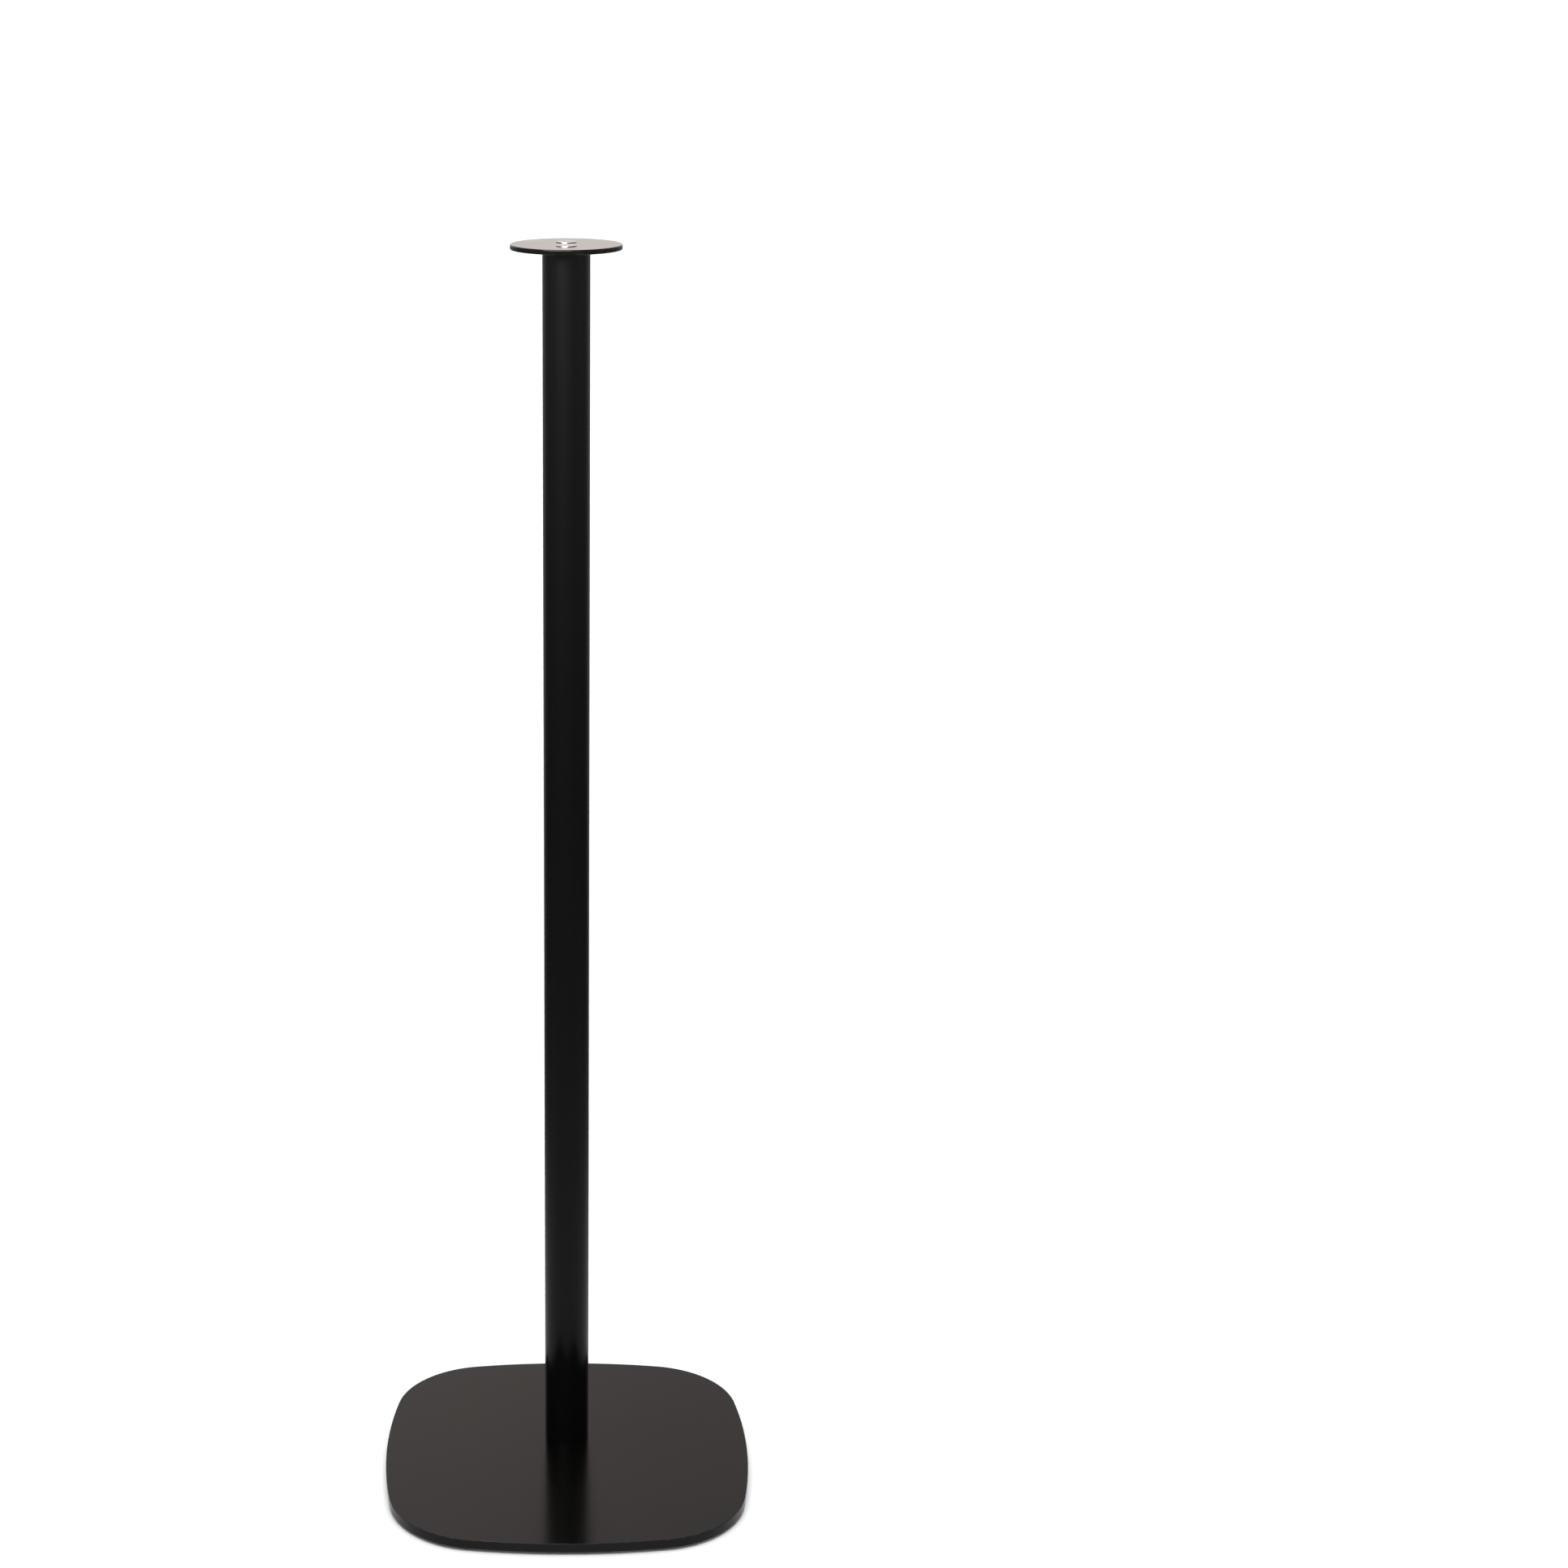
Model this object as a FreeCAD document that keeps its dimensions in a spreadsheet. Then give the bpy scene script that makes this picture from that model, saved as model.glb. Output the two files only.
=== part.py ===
import FreeCAD, Part
import math
import os

import Sketcher

# Floor stand for a loudspeaker: a heavy flat base plate, one straight tube, and a
# round disc that the speaker stands on. Millimetres, +Z up, -Y is the front.
# The origin is on the floor under the middle of the base plate. The tube stands
# a little behind that point.

doc = FreeCAD.newDocument("speaker_stand")

# ---------------------------------------------------------------- driving sizes
SIZES = [
    ("base_width", 300.0, "base plate, side to side and front to back"),
    ("base_thick", 8.0, "base plate thickness"),
    ("side_bow_rad", 515.0, "radius of the four bowed sides"),
    ("corner_rad", 78.0, "radius of the four corners"),
    ("base_edge_round", 0.25, "rounding of the base plate's upper edge"),
    ("base_edge_break", 0.3, "chamfer of the base plate's lower edge"),
    ("pole_dia", 36.2, "tube outside diameter over its coating"),
    ("pole_wall", 1.2, "tube wall"),
    ("pole_length", 986.2, "tube length"),
    ("pole_back", 28.0, "tube axis behind the middle of the base plate"),
    ("pole_edge_break", 0.3, "chamfer on the tube's outer end edges"),
    ("disc_dia", 84.5, "speaker disc diameter"),
    ("disc_thick", 3.8, "speaker disc thickness"),
    ("disc_edge_round", 0.8, "rounding of the disc's edges"),
    ("plug_length", 25.0, "length of each threaded tube plug"),
    ("plug_lead", 0.6, "lead-in chamfer on the plug's inner end"),
    ("screw_pitch", 26.0, "distance between the two screws at each end"),
    ("thread_dia", 6.0, "nominal thread diameter"),
    ("thread_point", 0.8, "chamfer on a screw's point"),
    ("clear_dia", 6.6, "clearance hole for the thread"),
    ("head_dia", 15.5, "low flat head of a disc screw"),
    ("head_thick", 0.6, "height of that head"),
    ("head_round", 0.25, "rounding of that head's upper edge"),
    ("disc_screw_length", 16.0, "disc screw, under its head"),
    ("socket_flats", 4.0, "hexagon socket across flats"),
    ("socket_deep", 2.2, "hexagon socket depth"),
    ("sunk_head_dia", 12.0, "countersunk head of a base screw"),
    ("sunk_gap", 0.2, "countersunk head below the base plate's underside"),
    ("base_screw_length", 20.0, "base screw, over all"),
    ("foot_dia", 20.0, "rubber foot diameter"),
    ("foot_thick", 2.0, "rubber foot thickness"),
    ("foot_edge_break", 0.5, "chamfer on the foot's lower edge"),
    ("foot_across", 196.0, "foot to foot, both ways"),
]
sheet = doc.addObject("Spreadsheet::Sheet", "Sizes")
for row, (alias, number, note) in enumerate(SIZES, start=1):
    sheet.set(f"A{row}", note)
    sheet.set(f"B{row}", str(number))
    sheet.setAlias(f"B{row}", alias)
doc.recompute()
SIZE = {alias: float(sheet.get(alias)) for alias, _, _ in SIZES}

V = FreeCAD.Vector
UP = V(0, 0, 1)
ORIGIN = (-1, 1)
H_AXIS, V_AXIS = -1, -2


# ---------------------------------------------------------------------- helpers
def new_body(label):
    body = doc.addObject("PartDesign::Body", label)
    body.Label = label
    return body


def new_sketch(body, name, role, height=None):
    """A sketch on one of the body's own origin planes, moved along the plane's normal by a sheet expression."""
    sketch = body.newObject("Sketcher::SketchObject", name)
    plane = next(f for f in body.Origin.OriginFeatures if f.Role == role)
    sketch.AttachmentSupport = [(plane, "")]
    sketch.MapMode = "FlatFace"
    if height:
        sketch.setExpression("AttachmentOffset.Base.z", height)
    return sketch


def drive(sketch, constraint, name, expression):
    """Adds a named dimension whose value is a sheet expression."""
    index = sketch.addConstraint(constraint)
    sketch.renameConstraint(index, name)
    sketch.setExpression(f"Constraints.{name}", expression)


def circle(sketch, name, diameter, expression, y=0.0, y_expression=None):
    """A circle on the sketch's vertical axis, at the origin unless a height is given."""
    g = sketch.addGeometry(Part.Circle(V(0, y, 0), UP, diameter / 2), False)
    if y_expression is None:
        sketch.addConstraint(Sketcher.Constraint("Coincident", g, 3, *ORIGIN))
    else:
        sketch.addConstraint(Sketcher.Constraint("PointOnObject", g, 3, V_AXIS))
        drive(
            sketch,
            Sketcher.Constraint("DistanceY", *ORIGIN, g, 3, y),
            f"{name}_y",
            y_expression,
        )
    drive(sketch, Sketcher.Constraint("Diameter", g, diameter), f"{name}_dia", expression)
    return g


def profile(sketch, points):
    """A closed outline of straight lines. Each point is (x, y, x expression, y expression); None means zero."""
    n = len(points)
    lines = [
        sketch.addGeometry(
            Part.LineSegment(V(*points[i][:2], 0), V(*points[(i + 1) % n][:2], 0)), False
        )
        for i in range(n)
    ]
    for i in range(n):
        sketch.addConstraint(
            Sketcher.Constraint("Coincident", lines[i], 2, lines[(i + 1) % n], 1)
        )
    for i, (x, y, x_expression, y_expression) in enumerate(points):
        if x_expression is None:
            sketch.addConstraint(
                Sketcher.Constraint("PointOnObject", lines[i], 1, V_AXIS)
            )
        else:
            drive(
                sketch,
                Sketcher.Constraint("DistanceX", *ORIGIN, lines[i], 1, x),
                f"x{i}",
                x_expression,
            )
        if y_expression is None:
            sketch.addConstraint(
                Sketcher.Constraint("PointOnObject", lines[i], 1, H_AXIS)
            )
        else:
            drive(
                sketch,
                Sketcher.Constraint("DistanceY", *ORIGIN, lines[i], 1, y),
                f"y{i}",
                y_expression,
            )
    return lines


def hexagon(sketch):
    """A hexagon socket's outline, its corners on a construction circle about the origin."""
    r = SIZE["socket_flats"] / 2 / math.cos(math.pi / 6)
    ring = sketch.addGeometry(Part.Circle(V(0, 0, 0), UP, r), True)
    corner = [
        V(r * math.cos(math.pi / 3 * i), r * math.sin(math.pi / 3 * i), 0)
        for i in range(6)
    ]
    side = [
        sketch.addGeometry(Part.LineSegment(corner[i], corner[(i + 1) % 6]), False)
        for i in range(6)
    ]
    sketch.addConstraint(Sketcher.Constraint("Coincident", ring, 3, *ORIGIN))
    for i in range(6):
        sketch.addConstraint(
            Sketcher.Constraint("Coincident", side[i], 2, side[(i + 1) % 6], 1)
        )
        sketch.addConstraint(Sketcher.Constraint("PointOnObject", side[i], 1, ring))
    for i in range(1, 6):
        sketch.addConstraint(Sketcher.Constraint("Equal", side[0], side[i]))
    sketch.addConstraint(Sketcher.Constraint("Horizontal", side[1]))
    drive(
        sketch,
        Sketcher.Constraint("Diameter", ring, 2 * r),
        "corners",
        "Sizes.socket_flats / cos(30 deg)",
    )


def pad(body, sketch, name, expression):
    feature = body.newObject("PartDesign::Pad", name)
    feature.Profile = sketch
    feature.setExpression("Length", expression)
    doc.recompute()
    return feature


def revolve(body, sketch, name):
    feature = body.newObject("PartDesign::Revolution", name)
    feature.Profile = sketch
    feature.ReferenceAxis = (sketch, ["V_Axis"])
    feature.Angle = 360
    doc.recompute()
    return feature


def pocket(body, sketch, name, expression=None, reverse=False):
    """Cuts the sketch into the body, to a depth or right through, and makes sure that it really cut."""
    before = body.Shape.Volume
    feature = body.newObject("PartDesign::Pocket", name)
    feature.Profile = sketch
    feature.Reversed = reverse
    if expression:
        feature.Type = "Length"
        feature.setExpression("Length", expression)
    else:
        feature.Type = "ThroughAll"
    doc.recompute()
    if not body.Shape.Volume < before - 1e-3:
        raise RuntimeError(f"{name} cut nothing")
    return feature


def edges(feature, wanted):
    """Names of the feature's edges whose middle point is wanted."""
    found = []
    for i, e in enumerate(feature.Shape.Edges, start=1):
        middle = e.valueAt((e.FirstParameter + e.LastParameter) / 2)
        if wanted(middle):
            found.append(f"Edge{i}")
    if not found:
        raise RuntimeError(f"no such edge on {feature.Label}")
    return found


def fillet(body, base, name, names, expression):
    feature = body.newObject("PartDesign::Fillet", name)
    feature.Base = (base, names)
    feature.setExpression("Radius", expression)
    doc.recompute()
    return feature


def chamfer(body, base, name, names, expression):
    feature = body.newObject("PartDesign::Chamfer", name)
    feature.Base = (base, names)
    feature.setExpression("Size", expression)
    doc.recompute()
    return feature


def place(thing, x=None, y=None, z=None):
    for axis, expression in (("x", x), ("y", y), ("z", z)):
        if expression:
            thing.setExpression(f"Placement.Base.{axis}", expression)
    doc.recompute()


FLOOR_TO_PLATE = "Sizes.foot_thick"
FLOOR_TO_TUBE = "Sizes.foot_thick + Sizes.base_thick"
FLOOR_TO_DISC = FLOOR_TO_TUBE + " + Sizes.pole_length"
FLOOR_TO_TOP = FLOOR_TO_DISC + " + Sizes.disc_thick"
FRONT_SCREW = "Sizes.pole_back - Sizes.screw_pitch / 2"
REAR_SCREW = "Sizes.pole_back + Sizes.screw_pitch / 2"


# ------------------------------------------------------------------- base plate
# Square with bowed sides: four wide arcs joined by four tangent corner arcs.
def base_plate():
    half, bow, corner = SIZE["base_width"] / 2, SIZE["side_bow_rad"], SIZE["corner_rad"]
    off = bow - half
    # the corner arcs' centres lie on the diagonals, bow - corner from a side's centre
    q = (-off + math.sqrt(2 * (bow - corner) ** 2 - off**2)) / 2
    lean = math.atan2(q, q + off)

    body = new_body("base_plate")
    sketch = new_sketch(body, "base_outline", "XY_Plane")
    sides, corners = [], []
    for i in range(4):
        turn = math.pi / 2 * i
        centre = V(-off * math.cos(turn), -off * math.sin(turn), 0)
        sides.append(
            sketch.addGeometry(
                Part.ArcOfCircle(
                    Part.Circle(centre, UP, bow), turn - lean, turn + lean
                ),
                False,
            )
        )
        d = turn + math.pi / 4
        centre = V(q * math.sqrt(2) * math.cos(d), q * math.sqrt(2) * math.sin(d), 0)
        corners.append(
            sketch.addGeometry(
                Part.ArcOfCircle(
                    Part.Circle(centre, UP, corner),
                    turn + lean,
                    turn + math.pi / 2 - lean,
                ),
                False,
            )
        )
    for i in range(4):
        sketch.addConstraint(Sketcher.Constraint("Tangent", sides[i], 2, corners[i], 1))
        sketch.addConstraint(
            Sketcher.Constraint("Tangent", corners[i], 2, sides[(i + 1) % 4], 1)
        )
    for i in range(1, 4):
        sketch.addConstraint(Sketcher.Constraint("Equal", sides[0], sides[i]))
        sketch.addConstraint(Sketcher.Constraint("Equal", corners[0], corners[i]))
    drive(sketch, Sketcher.Constraint("Radius", sides[0], bow), "bow", "Sizes.side_bow_rad")
    drive(
        sketch, Sketcher.Constraint("Radius", corners[0], corner), "corner", "Sizes.corner_rad"
    )
    offset = "Sizes.side_bow_rad - Sizes.base_width / 2"
    for i, (kind, axis) in enumerate(
        (("DistanceX", H_AXIS), ("DistanceY", V_AXIS)) * 2
    ):
        # the arc on one side has its centre across the middle, on the other side
        ends = (
            (sides[i], 3, *ORIGIN) if i < 2 else (*ORIGIN, sides[i], 3)
        )
        sketch.addConstraint(Sketcher.Constraint("PointOnObject", sides[i], 3, axis))
        drive(sketch, Sketcher.Constraint(kind, *ends, off), f"side{i}", offset)
    plate = pad(body, sketch, "base_slab", "Sizes.base_thick")

    # two countersunk holes, open to the underside, under the tube
    spots = new_sketch(body, "base_hole_spots", "XY_Plane")
    for name, sign, expression in (
        ("front", -1, FRONT_SCREW),
        ("rear", 1, REAR_SCREW),
    ):
        circle(
            spots,
            name,
            SIZE["clear_dia"],
            "Sizes.clear_dia",
            SIZE["pole_back"] + sign * SIZE["screw_pitch"] / 2,
            expression,
        )
    doc.recompute()
    before = body.Shape.Volume
    hole = body.newObject("PartDesign::Hole", "base_holes")
    hole.Profile = spots
    hole.Reversed = True
    hole.DepthType = "ThroughAll"
    hole.setExpression("Diameter", "Sizes.clear_dia")
    hole.HoleCutType = "Countersink"
    hole.HoleCutCountersinkAngle = 90
    hole.setExpression("HoleCutDiameter", "Sizes.sunk_head_dia + 2 * Sizes.sunk_gap")
    doc.recompute()
    cut = before - body.Shape.Volume
    r, wide = SIZE["clear_dia"] / 2, SIZE["sunk_head_dia"] / 2 + SIZE["sunk_gap"]
    cone = math.pi / 3 * (wide - r) * (wide**2 + wide * r - 2 * r**2)
    expected = 2 * (math.pi * r**2 * SIZE["base_thick"] + cone)
    if abs(cut - expected) > 0.02 * expected:
        raise RuntimeError(f"base holes cut {cut:.1f} mm3, not {expected:.1f}")

    outside = half - 4 * corner * (1 - 1 / math.sqrt(2)) / 2

    def rim(z):
        return lambda p: abs(p.z - z) < 1e-6 and math.hypot(p.x, p.y) > outside

    rounded = fillet(
        body, hole, "upper_edge", edges(hole, rim(SIZE["base_thick"])), "Sizes.base_edge_round"
    )
    chamfer(body, rounded, "lower_edge", edges(rounded, rim(0)), "Sizes.base_edge_break")
    place(body, z=FLOOR_TO_PLATE)
    return body


# ------------------------------------------------------------------- pole tube
def pole_tube():
    body = new_body("pole_tube")
    sketch = new_sketch(body, "tube_section", "XY_Plane")
    circle(sketch, "outer", SIZE["pole_dia"], "Sizes.pole_dia")
    circle(
        sketch,
        "inner",
        SIZE["pole_dia"] - 2 * SIZE["pole_wall"],
        "Sizes.pole_dia - 2 * Sizes.pole_wall",
    )
    tube = pad(body, sketch, "tube", "Sizes.pole_length")
    r, length = SIZE["pole_dia"] / 2, SIZE["pole_length"]
    ends = edges(
        tube,
        lambda p: abs(math.hypot(p.x, p.y) - r) < 1e-6 and (p.z < 1e-6 or p.z > length - 1e-6),
    )
    chamfer(body, tube, "tube_ends", ends, "Sizes.pole_edge_break")
    place(body, y="Sizes.pole_back", z=FLOOR_TO_TUBE)
    return body


# ---------------------------------------------------- threaded plugs in the tube
# One plug is pressed into each end, flush with it. Both are the same piece: two
# tapped holes side by side, drawn at the thread's nominal diameter.
def plug(label, head):
    body = new_body(label)
    sketch = new_sketch(body, label + "_section", "XY_Plane")
    d = SIZE["pole_dia"] - 2 * SIZE["pole_wall"]
    circle(sketch, "outer", d, "Sizes.pole_dia - 2 * Sizes.pole_wall")
    for name, sign in (("front", -1), ("rear", 1)):
        # drawn from the middle outwards, so that both distances are positive
        g = sketch.addGeometry(
            Part.Circle(V(0, sign * SIZE["screw_pitch"] / 2, 0), UP, SIZE["thread_dia"] / 2),
            False,
        )
        sketch.addConstraint(Sketcher.Constraint("PointOnObject", g, 3, V_AXIS))
        ends = (*ORIGIN, g, 3) if sign > 0 else (g, 3, *ORIGIN)
        drive(
            sketch,
            Sketcher.Constraint("DistanceY", *ends, SIZE["screw_pitch"] / 2),
            f"{name}_y",
            "Sizes.screw_pitch / 2",
        )
        drive(
            sketch,
            Sketcher.Constraint("Diameter", g, SIZE["thread_dia"]),
            f"{name}_dia",
            "Sizes.thread_dia",
        )
    slug = pad(body, sketch, label + "_slug", "Sizes.plug_length")
    inner = 0.0 if head else SIZE["plug_length"]
    lead = edges(
        slug, lambda p: abs(math.hypot(p.x, p.y) - d / 2) < 1e-6 and abs(p.z - inner) < 1e-6
    )
    chamfer(body, slug, label + "_lead", lead, "Sizes.plug_lead")
    place(
        body,
        y="Sizes.pole_back",
        z=FLOOR_TO_DISC + " - Sizes.plug_length" if head else FLOOR_TO_TUBE,
    )
    return body


# ----------------------------------------------------------------- speaker disc
def top_plate():
    body = new_body("top_plate")
    sketch = new_sketch(body, "disc_outline", "XY_Plane")
    circle(sketch, "rim", SIZE["disc_dia"], "Sizes.disc_dia")
    disc = pad(body, sketch, "disc", "Sizes.disc_thick")
    spots = new_sketch(body, "disc_hole_spots", "XY_Plane", "Sizes.disc_thick")
    for name, sign in (("front", -1), ("rear", 1)):
        g = spots.addGeometry(
            Part.Circle(V(0, sign * SIZE["screw_pitch"] / 2, 0), UP, SIZE["clear_dia"] / 2),
            False,
        )
        spots.addConstraint(Sketcher.Constraint("PointOnObject", g, 3, V_AXIS))
        ends = (*ORIGIN, g, 3) if sign > 0 else (g, 3, *ORIGIN)
        drive(
            spots,
            Sketcher.Constraint("DistanceY", *ends, SIZE["screw_pitch"] / 2),
            f"{name}_y",
            "Sizes.screw_pitch / 2",
        )
        drive(
            spots,
            Sketcher.Constraint("Diameter", g, SIZE["clear_dia"]),
            f"{name}_dia",
            "Sizes.clear_dia",
        )
    holed = pocket(body, spots, "disc_holes")
    r = SIZE["disc_dia"] / 2
    fillet(
        body,
        holed,
        "disc_edges",
        edges(holed, lambda p: abs(math.hypot(p.x, p.y) - r) < 1e-6 and (p.z < 1e-6 or p.z > SIZE["disc_thick"] - 1e-6)),
        "Sizes.disc_edge_round",
    )
    place(body, y="Sizes.pole_back", z=FLOOR_TO_DISC)
    return body


# -------------------------------------------------------------------- fasteners
# A disc screw has a wide low head that lies on the disc. Its shank is drawn at
# the thread's nominal diameter.
def disc_screw(label, y):
    body = new_body(label)
    sketch = new_sketch(body, label + "_profile", "XZ_Plane", None)
    r, head, low = SIZE["thread_dia"] / 2, SIZE["head_dia"] / 2, SIZE["thread_point"]
    long, top = SIZE["disc_screw_length"], SIZE["disc_screw_length"] + SIZE["head_thick"]
    shank, rim = "Sizes.thread_dia / 2", "Sizes.head_dia / 2"
    profile(
        sketch,
        [
            (0, 0, None, None),
            (r - low, 0, "Sizes.thread_dia / 2 - Sizes.thread_point", None),
            (r, low, shank, "Sizes.thread_point"),
            (r, long, shank, "Sizes.disc_screw_length"),
            (head, long, rim, "Sizes.disc_screw_length"),
            (head, top, rim, "Sizes.disc_screw_length + Sizes.head_thick"),
            (0, top, None, "Sizes.disc_screw_length + Sizes.head_thick"),
        ],
    )
    turned = revolve(body, sketch, label + "_turned")
    crown = edges(
        turned, lambda p: abs(p.z - top) < 1e-6 and abs(math.hypot(p.x, p.y) - head) < 1e-6
    )
    fillet(body, turned, label + "_crown", crown, "Sizes.head_round")
    socket = new_sketch(
        body, label + "_socket", "XY_Plane", "Sizes.disc_screw_length + Sizes.head_thick"
    )
    hexagon(socket)
    pocket(body, socket, label + "_drive", "Sizes.socket_deep")
    place(body, y=y, z=FLOOR_TO_TOP + " - Sizes.disc_screw_length")
    return body


# A base screw is countersunk. Its cone lies on the cone of its hole.
def base_screw(label, y):
    body = new_body(label)
    sketch = new_sketch(body, label + "_profile", "XZ_Plane")
    r, head, low = SIZE["thread_dia"] / 2, SIZE["sunk_head_dia"] / 2, SIZE["thread_point"]
    long = SIZE["base_screw_length"]
    shank = "Sizes.thread_dia / 2"
    profile(
        sketch,
        [
            (0, 0, None, None),
            (head, 0, "Sizes.sunk_head_dia / 2", None),
            (r, head - r, shank, "Sizes.sunk_head_dia / 2 - Sizes.thread_dia / 2"),
            (r, long - low, shank, "Sizes.base_screw_length - Sizes.thread_point"),
            (r - low, long, "Sizes.thread_dia / 2 - Sizes.thread_point", "Sizes.base_screw_length"),
            (0, long, None, "Sizes.base_screw_length"),
        ],
    )
    revolve(body, sketch, label + "_turned")
    socket = new_sketch(body, label + "_socket", "XY_Plane")
    hexagon(socket)
    pocket(body, socket, label + "_drive", "Sizes.socket_deep", reverse=True)
    place(body, y=y, z="Sizes.foot_thick + Sizes.sunk_gap")
    return body


def group(label, members):
    """Equal fasteners in one node, each its own solid."""
    both = doc.addObject("Part::Compound", label)
    both.Label = label
    both.Links = members
    doc.recompute()
    return both


# ------------------------------------------------------------------ rubber feet
def foot(label, right, rear):
    body = new_body(label)
    sketch = new_sketch(body, label + "_outline", "XY_Plane")
    circle(sketch, "rim", SIZE["foot_dia"], "Sizes.foot_dia")
    puck = pad(body, sketch, label + "_puck", "Sizes.foot_thick")
    r = SIZE["foot_dia"] / 2
    chamfer(
        body,
        puck,
        label + "_edge",
        edges(puck, lambda p: abs(p.z) < 1e-6 and abs(math.hypot(p.x, p.y) - r) < 1e-6),
        "Sizes.foot_edge_break",
    )
    place(
        body,
        x=("" if right else "-") + "Sizes.foot_across / 2",
        y=("" if rear else "-") + "Sizes.foot_across / 2",
    )
    return body


NODES = [
    base_plate(),
    pole_tube(),
    plug("foot_plug", head=False),
    plug("head_plug", head=True),
    top_plate(),
    group(
        "top_plate_screws",
        [
            disc_screw("top_plate_screw_front", FRONT_SCREW),
            disc_screw("top_plate_screw_rear", REAR_SCREW),
        ],
    ),
    group(
        "base_screws",
        [
            base_screw("base_screw_front", FRONT_SCREW),
            base_screw("base_screw_rear", REAR_SCREW),
        ],
    ),
    foot("foot_front_left", right=False, rear=False),
    foot("foot_front_right", right=True, rear=False),
    foot("foot_rear_left", right=False, rear=True),
    foot("foot_rear_right", right=True, rear=True),
]
SOLIDS = {"top_plate_screws": 2, "base_screws": 2}

# ------------------------------------------------------------- checks and files
doc.recompute()
for thing in doc.Objects:
    if {"Invalid", "Error"} & set(thing.State):
        raise RuntimeError(f"{thing.Label} failed: {thing.State}")
    if thing.isDerivedFrom("Sketcher::SketchObject") and not thing.FullyConstrained:
        raise RuntimeError(f"sketch {thing.Label} is not fully constrained")
for node in NODES:
    shape = node.Shape
    if shape.isNull() or not shape.isValid():
        raise RuntimeError(f"{node.Label} has no valid shape")
    if len(shape.Solids) != SOLIDS.get(node.Label, 1):
        raise RuntimeError(f"{node.Label} has {len(shape.Solids)} solids")
for i, one in enumerate(NODES):
    for other in NODES[i + 1 :]:
        if one.Shape.BoundBox.intersect(other.Shape.BoundBox):
            shared = one.Shape.common(other.Shape).Volume
            if shared > 0.01:
                raise RuntimeError(f"{one.Label} and {other.Label} overlap by {shared:.3f} mm3")

os.makedirs("parts", exist_ok=True)
for node in NODES:
    node.Shape.exportStep(os.path.join("parts", node.Label + ".step"))
    box = node.Shape.BoundBox
    print(
        f"{node.Label:18s} {node.Shape.Volume:11.1f} mm3"
        f"  x {box.XMin:8.2f} {box.XMax:8.2f}  y {box.YMin:8.2f} {box.YMax:8.2f}  z {box.ZMin:8.2f} {box.ZMax:8.2f}"
    )
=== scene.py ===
import math

import bmesh
import bpy
from mathutils import Matrix, Vector
from mathutils.geometry import tessellate_polygon


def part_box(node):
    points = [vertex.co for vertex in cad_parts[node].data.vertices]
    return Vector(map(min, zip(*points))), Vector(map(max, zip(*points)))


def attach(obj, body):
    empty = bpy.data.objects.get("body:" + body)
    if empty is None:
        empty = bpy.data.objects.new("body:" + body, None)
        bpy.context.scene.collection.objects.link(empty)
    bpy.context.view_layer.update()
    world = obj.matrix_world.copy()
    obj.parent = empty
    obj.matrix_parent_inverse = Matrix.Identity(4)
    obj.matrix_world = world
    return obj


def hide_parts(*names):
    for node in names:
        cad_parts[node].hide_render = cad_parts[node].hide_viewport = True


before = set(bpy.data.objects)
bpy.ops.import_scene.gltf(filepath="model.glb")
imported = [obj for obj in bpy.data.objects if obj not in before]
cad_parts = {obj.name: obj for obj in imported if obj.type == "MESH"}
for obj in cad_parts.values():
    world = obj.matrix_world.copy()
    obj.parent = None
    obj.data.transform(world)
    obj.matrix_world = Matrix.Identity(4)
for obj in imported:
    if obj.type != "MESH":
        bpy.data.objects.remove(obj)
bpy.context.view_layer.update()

# Floor stand for a loudspeaker: satin black powder coat on a heavy base plate, a
# slim tube and a thin round disc, with two bright screws on the disc. Meshes are
# drawn in millimetres and stored in metres, in the stand's own frame: +Z up, -Y to
# the front, the origin on the floor under the middle of the base plate.

MM = 0.001
TAU = 2 * math.pi

# heights and places, read from the frame in millimetres
PLATE_LOW, PLATE_TOP = (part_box("base_plate")[i].z / MM for i in (0, 1))
TUBE_LOW, TUBE_TOP = (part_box("pole_tube")[i].z / MM for i in (0, 1))
DISC_LOW, DISC_TOP = (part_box("top_plate")[i].z / MM for i in (0, 1))
BACK = sum(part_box("pole_tube")[i].y for i in (0, 1)) / 2 / MM
TUBE_R, PLUG_R, DISC_R = (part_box(node)[1].x / MM for node in ("pole_tube", "foot_plug", "top_plate"))
PITCH = 26.0
SCREWS = [(0.0, BACK - PITCH / 2), (0.0, BACK + PITCH / 2)]

# the base plate's outline: four wide side arcs and four tangent corner arcs
HALF, BOW, CORNER = 150.0, 515.0, 78.0


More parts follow.
